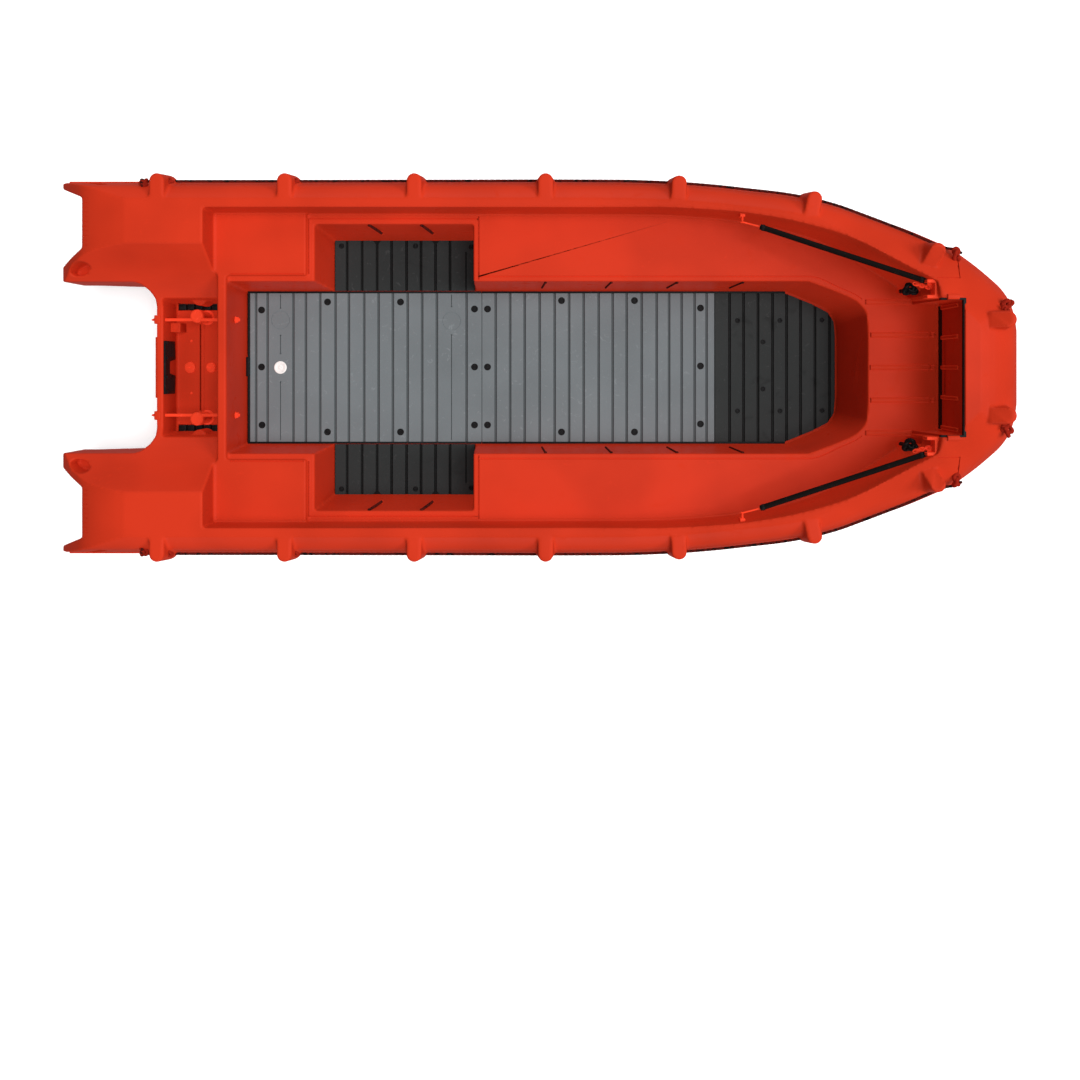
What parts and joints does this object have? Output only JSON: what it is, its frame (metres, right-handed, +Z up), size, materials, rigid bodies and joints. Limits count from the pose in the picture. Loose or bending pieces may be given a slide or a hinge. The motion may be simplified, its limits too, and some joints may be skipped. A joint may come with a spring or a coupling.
{
  "type": "open inshore rescue boat",
  "caption": "Open moulded rescue boat with a double-skinned hull, side benches, non-skid floor, splash well and grab lines; it carries a crew and casualties near the shore.",
  "frame": {"origin": "on the floor under the keel skid, amidships, on the centreline", "axes": "+X to the bow, +Y to port, +Z up"},
  "size_m": [5.048, 2.05, 1.244],
  "materials": {
    "shell": "moulded polyethylene, orange red, satin with a fine grain",
    "panel_light": "ribbed non-skid panel, worn grey",
    "panel_dark": "ribbed non-skid panel, charcoal",
    "rubber": "black rubber",
    "hose": "black hose over a bar",
    "rope": "black braided rope",
    "coated_rod": "orange coated tie rod",
    "white_fitting": "white plastic drain cap"
  },
  "bodies": {
    "root": {"hull_bottom": "shell", "transom_and_well": "shell", "stern_float_port": "shell", "stern_float_starboard": "shell", "deck_moulding": "shell", "rub_strake": "shell", "keel_skid": "rubber", "stem_bracket": "shell", "floor_panel_aft": "panel_light", "floor_panel_mid": "panel_light", "floor_panel_bow": "panel_dark", "pocket_mat_port": "panel_dark", "pocket_mat_starboard": "panel_dark", "transom_outer_plate": "shell", "transom_clamp_plate": "panel_dark", "tie_rod_port": "coated_rod", "tie_rod_starboard": "coated_rod", "well_post_port": "shell", "well_post_starboard": "shell", "well_plug_aft": "shell", "well_plug_fore": "shell", "well_outlet_block": "shell", "floor_drain": "white_fitting", "grab_line_port": "rope", "grab_line_starboard": "rope", "bar_foot_port": "shell", "bar_foot_starboard": "shell", "bar_bracket_port": "shell", "bar_bracket_starboard": "shell", "bow_bar_port": "hose", "bow_bar_starboard": "hose"}
  },
  "joints": []
}
